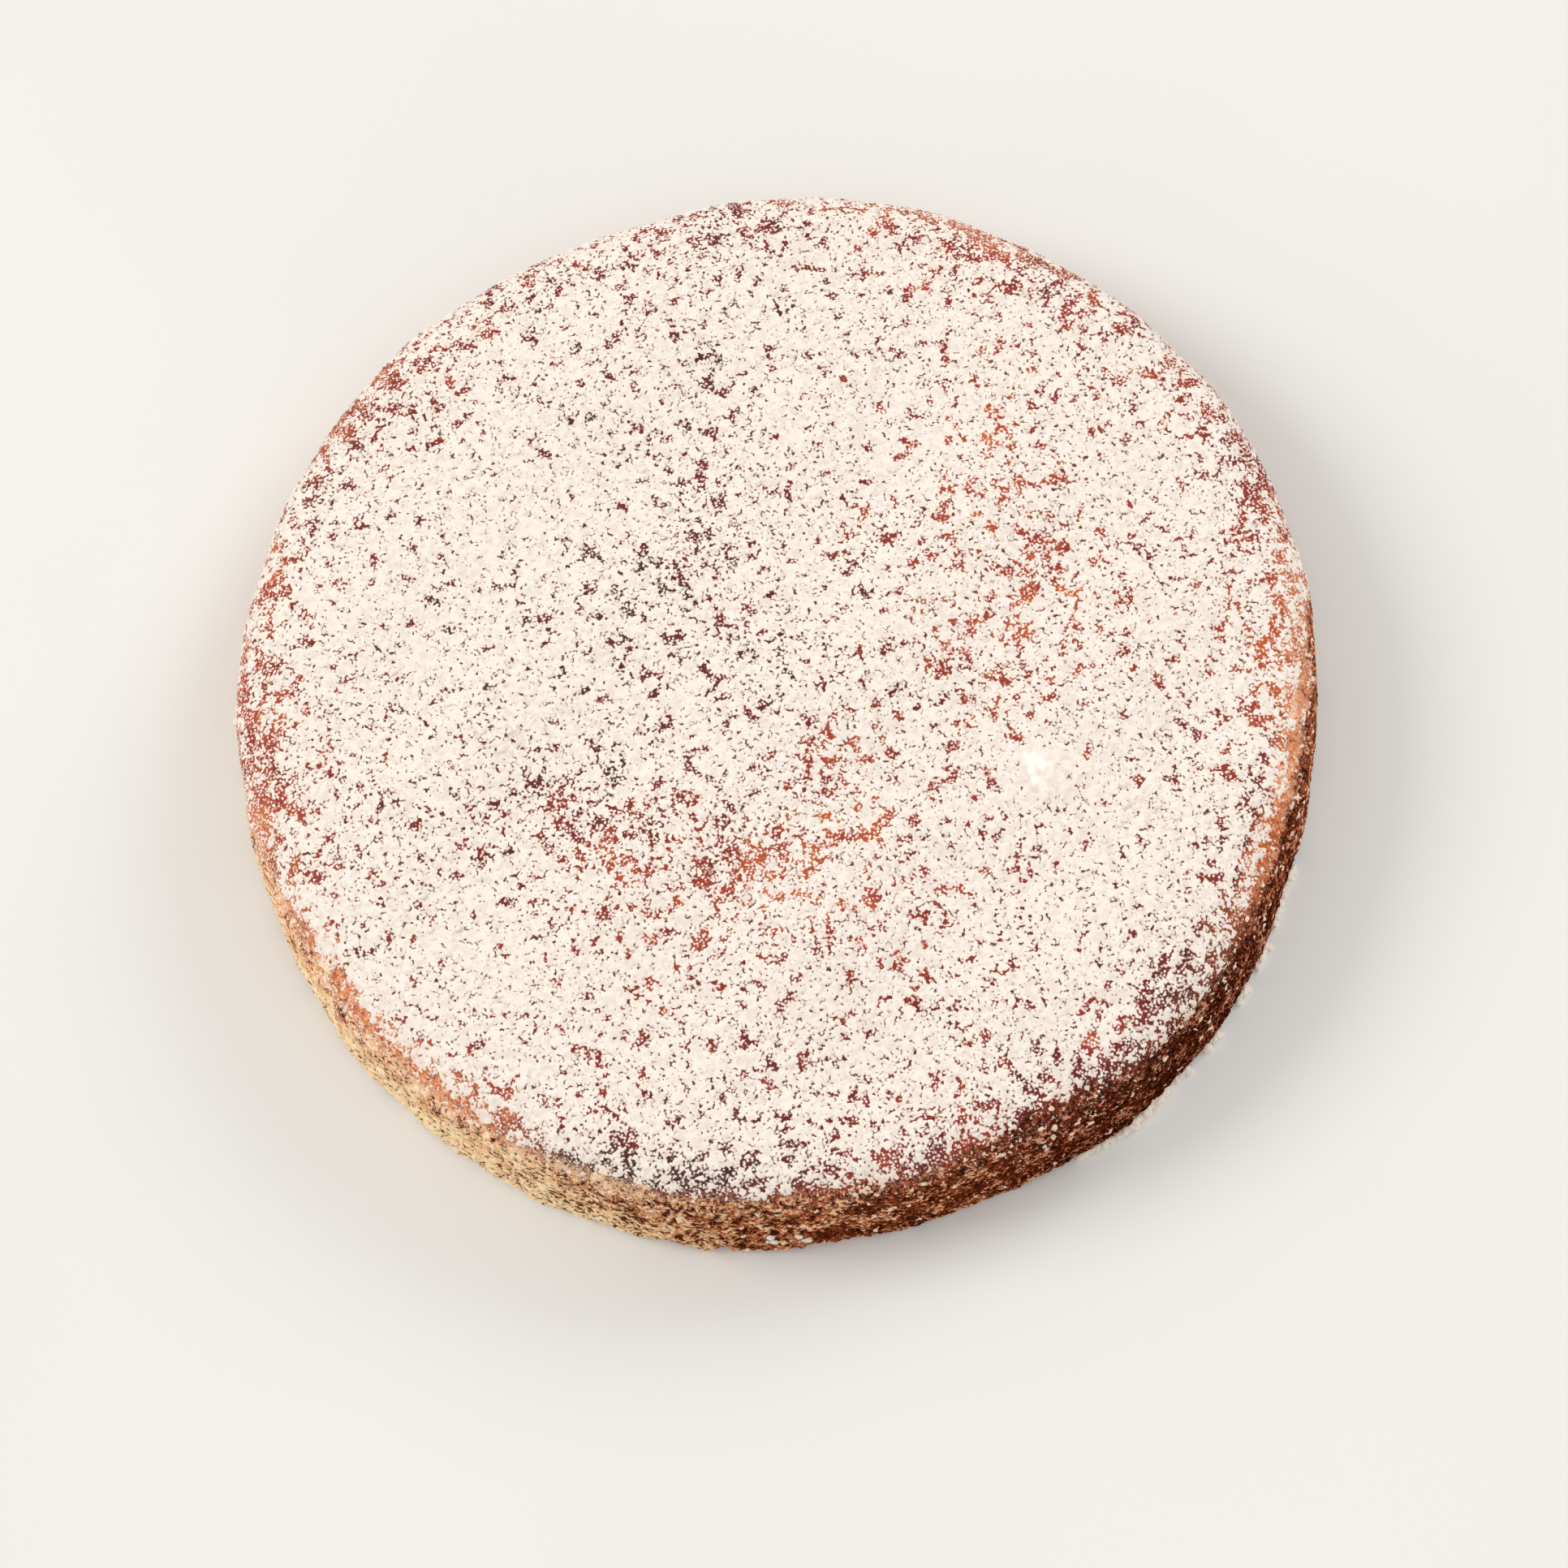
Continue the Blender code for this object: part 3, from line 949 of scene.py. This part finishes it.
def side_piece(material):
    """Rings of points from under the sugared skin down to the foot, closed below and inside."""
    rows = int((SKIN - SIDE_FROM) / SIDE_ROW) + 1
    angles = np.linspace(-math.pi, math.pi, SIDE_SECTORS, endpoint=False)
    angle, rho = np.meshgrid(angles, np.linspace(SIDE_FROM, SKIN, rows))
    end = skin_end(angle)
    cell = TAU * SIDE_RADIUS / SIDE_SECTORS
    grid = (SIDE_NOISE_ROWS, SIDE_SECTORS)

    def noise(settings):
        return spectral(*grid, cell, *settings)[:rows]

    def scaled(settings, share):
        return settings[0] + settings[1] * share

    def step_from(place, limits):
        return smoothstep(place + limits[0], place + limits[1], rho)

    ragged = noise(SIDE_RAGGED)
    zones = crust_zones(rho, angle, ragged)
    baked_and_lit = np.clip(zones["bake_and_light"], 0, 1)
    flaky = round_rim(FLAKY, angle)
    folds = noise(SIDE_FOLDS) * scaled(FOLDS, flaky)
    crumb = noise(SIDE_CRUMB) * scaled(CRUMBS, baked_and_lit)
    under_rim = STREAKS_UNDER_RIM * bell(rho, *STREAKS_BELL)
    streaks = noise(SIDE_STREAKS) * np.maximum(under_rim, STREAKS_FLAKY * flaky)
    cuts = np.maximum(noise(SIDE_CUTS) - CUT_LEVEL + CUT_DARK * baked_and_lit, 0) * CUT_DEPTH
    lively = step_from(end, LIVELY_FROM) * (1 - step_from(SKIN, LIVELY_TO))
    # Painted shade in a groove just above the foot.
    foot_groove = bell(rho - SKIN + SEAM_UP - SEAM_WANDER * ragged, 0, SEAM_WIDTH)
    foot_groove = foot_groove * smoothstep(*SEAM_GAPS, noise(SIDE_SEAM)) * smoothstep(*SEAM_PALE, baked_and_lit)
    relief = (folds + crumb + streaks - CUT_SHOWN * np.minimum(cuts, CUT_DEEPEST)) * lively
    relief -= SEAM_DEPTH * foot_groove

    # Grains of sugar caught on the side.
    caught = by_direction(SIDE_SUGAR, angle)
    caught = caught * (1 - SIDE_SUGAR_FADE * smoothstep(*SIDE_SUGAR_FADE_OVER, rho))
    caught = np.clip(caught * np.exp(SIDE_SPOTS_SHARP * noise(SIDE_SPOTS)), 0, 1)
    density = np.zeros(grid)
    density[:rows] = caught
    grains = lumps(*grid, cell, *SIDE_GRAINS, density)[:rows] * lively

    x, y = rho * np.cos(angle), rho * np.sin(angle)
    tuck = SIDE_TUCK * (1 - step_from(end, TUCK_FROM))
    lift = relief - tuck + SIDE_GRAIN_LIFT * grains
    points, normals = skin(x.ravel(), y.ravel())
    points = points + normals * lift.ravel()[:, None]
    points[:, 2] = np.maximum(points[:, 2], 0)
    points[-SIDE_SECTORS:, 2] = 0
    points[:SIDE_SECTORS, 2] -= FIRST_ROW_DROP
    centres = [[0, 0, 0], [0, 0, RIM_HEIGHT - CAP_UNDER_RIM]]
    points = np.concatenate([points, centres])
    piece = mesh_object("cake_crust", points, ring_faces(rows, SIDE_SECTORS))

    # Painted shade, darker where the mesh is hollow or cut.
    hollow = crumb + streaks + (FOLD_PITS - FOLD_PITS_FLAKY * flaky) * folds
    hollow = -HOLLOW * hollow * (HOLLOW_PALE + HOLLOW_DARK * baked_and_lit + HOLLOW_FLAKY * flaky)
    pit_shade = np.clip(hollow, 0, PIT_MOST + PIT_MOST_FLAKY * flaky) + np.clip(CUT_SHADE * cuts, 0, 1)
    looks = dict(
        sugar=np.where(grains > 0, grains - SIDE_GRAIN_EDGE, NO_SUGAR),
        open=np.ones_like(rho),
        tone=BASE_TONE + patches(TONE_PATCHES, x, y),
        pit_shade=pit_shade * lively + SEAM_SHADE * foot_groove,
    )
    looks.update(zones)
    for key, values in looks.items():
        attribute(piece, key, np.concatenate([values.ravel(), [0, 0]]))
    piece.data.materials.append(material)
    return piece


# -------- loose clumps of sugar
# Each is a ball, squeezed and roughened by waves. Pairs are the least and the most.
CLUMP_SEED = 40
CLUMP_DETAIL = 3            # how often the ball's triangles are split
CLUMP_ROUND = (0.75, 1.15)
CLUMP_FLAT = 0.75
CLUMP_WAVES = (1.6, 2.7, 4.4, 7.0)
CLUMP_WAYS = 5              # directions of each wave
CLUMP_ROUGH = 0.16
CLUMP_SLOPE = 0.55
CLUMP_STEEP = 1.6
CLUMP_DEPTH = 0.55
CLUMP_SHADE = 0.5
CLUMP_SHADE_ROUGH = 1.1
# Along the foot, in the ridge's own width.
RIDGE_STEP = 0.62
RIDGE_WANDER = 0.12
RIDGE_SIZES = (0.55, 1.0)
RIDGE_RISES = (0.35, 1.0)
RIDGE_TAPER = 0.4
RIDGE_REACH = (-0.2, 0.25)
# Crumbs round each clump on the side, in the clump's own size.
SIDE_CRUMB_COUNT = 4
SIDE_CRUMB_SPREAD = 0.55
SIDE_CRUMB_SIZES = (0.4, 0.7)
SIDE_CLUMP_OUT = 0.25
TOP_CLUMP_SIZES = (0.5, 1.0)
TOP_CLUMP_OUT = 0.3
TOP_CLUMP_OUT_SIZE = 0.1


def skin_point(x, y):
    """The point and normal of the plain form at one place on the skin."""
    points, normals = skin(np.array([x]), np.array([y]))
    return points[0], normals[0]


def ridge_places(rng):
    """Centre, size and outward direction of each clump along the foot."""
    for low, high, across, height in FOOT_RIDGES:
        count = max(2, int(math.radians(high - low) * SIDE_RADIUS / (RIDGE_STEP * across)))
        for k in range(count):
            middle = k + 0.5
            angle = low + (high - low) * middle / count + rng.normal(0, RIDGE_WANDER)
            angle = math.radians(angle)
            size = across * rng.uniform(*RIDGE_SIZES)
            arch = math.sin(math.pi * middle / count) ** RIDGE_TAPER
            rise = rng.uniform(*RIDGE_RISES) * height * arch
            reach = SIDE_RADIUS + outline(angle) + rng.uniform(*RIDGE_REACH) * across
            yield (reach * math.cos(angle), reach * math.sin(angle), rise / 2), size, (0, 0, 1)


def side_places(rng):
    """Centre, size and outward direction of each clump on the side, with crumbs round it."""
    for angle, rho, size in SIDE_CLUMPS:
        spread = [(0, 0, 1.0)]
        for _ in range(SIDE_CRUMB_COUNT):
            spread.append((*rng.normal(0, SIDE_CRUMB_SPREAD, 2), rng.uniform(*SIDE_CRUMB_SIZES)))
        for across, along, share in spread:
            turn = math.radians(angle) + across * size / SIDE_RADIUS
            here = rho + along * size
            point, normal = skin_point(here * math.cos(turn), here * math.sin(turn))
            yield point + normal * SIDE_CLUMP_OUT * size, size * share, normal


def top_places(rng):
    """Centre, size and outward direction of each clump on the top."""
    for x, y, spread, count, size in TOP_CLUMPS:
        for _ in range(count):
            point, normal = skin_point(*(np.array([x, y]) * SIDE_RADIUS + rng.normal(0, spread, 2)))
            share = rng.uniform(*TOP_CLUMP_SIZES)
            out = TOP_CLUMP_OUT + TOP_CLUMP_OUT_SIZE * size
            yield point + normal * out, size * share, normal


def ball():
    """A unit ball's points and triangles."""
    made = bmesh.new()
    bmesh.ops.create_icosphere(made, subdivisions=CLUMP_DETAIL, radius=1)
    points = np.array([tuple(v.co) for v in made.verts])
    triangles = np.array([[v.index for v in f.verts] for f in made.faces])
    made.free()
    return points, triangles


def clump_piece(material):
    """Rough lumps where the tables put them."""
    rng = np.random.default_rng(CLUMP_SEED)
    unit, faces = ball()
    places = [*ridge_places(rng), *side_places(rng), *top_places(rng)]
    points, triangles, shades = [], [], []
    for centre, size, normal in places:
        shape = unit * rng.uniform(*CLUMP_ROUND, 3)
        rough = np.zeros(len(unit))
        for wave in CLUMP_WAVES:
            for _ in range(CLUMP_WAYS):
                way = rng.normal(0, 1, 3)
                way *= wave / np.linalg.norm(way)
                ripple = np.sin(unit @ way * CLUMP_STEEP + rng.uniform(0, TAU))
                rough += CLUMP_ROUGH / wave ** CLUMP_SLOPE * ripple
        shape = shape * (1 + CLUMP_DEPTH * rough)[:, None]
        turned = np.array(Vector(normal).to_track_quat("Z", "Y").to_matrix())
        shape = (shape * (1, 1, CLUMP_FLAT)) @ turned.T * size + centre
        shape[:, 2] = np.maximum(shape[:, 2], 0.0)
        triangles.append(faces + len(unit) * len(points))
        points.append(shape)
        # Painted shade, from how far the clump's surface sinks in or bulges.
        shades.append(np.full(len(unit), CLUMP_SHADE) + CLUMP_SHADE_ROUGH * rough)
    piece = mesh_object("sugar_clumps", np.concatenate(points), np.concatenate(triangles))
    attribute(piece, "crumb", np.concatenate(shades))
    piece.data.materials.append(material)
    return piece


# -------- stage
# In metres, apart from the sensor.
FLOOR_HALF = 3.0
FLOOR_DROP = 0.05 * MM
WORLD_COLOUR = (1.0, 0.99, 0.97, 1)
WORLD_STRENGTH = 0.61
# (name, place, target, width, watts, colour)
LIGHTS = (
    ("key", (-2.2, 0.5, 1.9), (0, 0, 0.02), 1.4, 36, (1.0, 0.985, 0.96)),
    ("fill", (1.65, 1.1, 1.4), (0, 0, 0.02), 1.2, 17.5, (1.0, 1.0, 1.0)),
    ("front", (0.3, -0.6, 1.6), (0, 0, 0), 1.4, 4, (1.0, 1.0, 1.0)),
)
# The view: how far off, how high, how the picture is turned, and where it looks on the floor.
VIEW_DISTANCE = 0.681
VIEW_ELEVATION = 69.27
VIEW_ROLL = -8.09
VIEW_AT = (-1.4 * MM, -14.5 * MM, 0)
VIEW_CLIP = (0.01, 20)
SENSOR = 36                 # millimetres
LENS_WIDTHS = 2.070393375   # the focal length, in widths of the picture


def stage():
    """A plain pale floor, a hair below the foot."""
    corners = np.array([[-1, -1, 0], [1, -1, 0], [1, 1, 0], [-1, 1, 0]]) * FLOOR_HALF
    corners = (corners - [0, 0, FLOOR_DROP]) / MM
    floor = mesh_object("floor", corners, np.array([[0, 1, 2], [0, 2, 3]]), smooth=False)
    nodes = Nodes("pale_floor")
    tint = nodes.mix(nodes.between(nodes.noise(*FLOOR_NOISE), *FLOOR_OVER), *FLOOR_TINTS)
    floor.data.materials.append(nodes.finish(tint, FLOOR_ROUGH))


def lights():
    """Soft studio light from the left, with weaker light from the right and the front."""
    world = bpy.data.worlds.new("studio")
    bpy.context.scene.world = world
    world.use_nodes = True
    world.node_tree.nodes["Background"].inputs["Color"].default_value = WORLD_COLOUR
    world.node_tree.nodes["Background"].inputs["Strength"].default_value = WORLD_STRENGTH
    for name, place, target, width, watts, colour in LIGHTS:
        light = bpy.data.lights.new(name, "AREA")
        light.shape, light.size = "DISK", width
        light.energy, light.color = watts, colour
        made = bpy.data.objects.new(name, light)
        bpy.context.scene.collection.objects.link(made)
        made.location = place
        away = Vector(target) - Vector(place)
        made.rotation_euler = away.to_track_quat("-Z", "Y").to_euler()
    bpy.context.scene.view_settings.view_transform = "Standard"


def camera():
    """The photo's view, down on the cake from the front."""
    data = bpy.data.cameras.new("camera")
    data.sensor_width, data.lens = SENSOR, SENSOR * LENS_WIDTHS
    data.clip_start, data.clip_end = VIEW_CLIP
    made = bpy.data.objects.new("camera", data)
    bpy.context.scene.collection.objects.link(made)
    e, roll = math.radians(VIEW_ELEVATION), math.radians(VIEW_ROLL)
    back = Vector((0, -math.cos(e), math.sin(e)))
    right, up = Vector((1, 0, 0)), Vector((0, math.sin(e), math.cos(e)))
    side = right * math.cos(roll) + up * math.sin(roll)
    top = up * math.cos(roll) - right * math.sin(roll)
    turn = Matrix((side, top, back)).transposed().to_4x4()
    made.matrix_world = Matrix.Translation(Vector(VIEW_AT) + back * VIEW_DISTANCE) @ turn
    bpy.context.scene.camera = made


def main():
    top = sugared_top()
    surface = cake_surface()
    crust = side_piece(surface)
    pieces = [crust]
    for k, rows in enumerate(strip_rows(top["half"])):
        pieces.append(strip_piece(f"sugar_{k + 1}", top, rows, surface))
    pieces.append(clump_piece(clump_surface()))
    for piece in pieces:
        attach(piece, "root")
    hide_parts("cake")
    stage()
    lights()
    camera()


main()
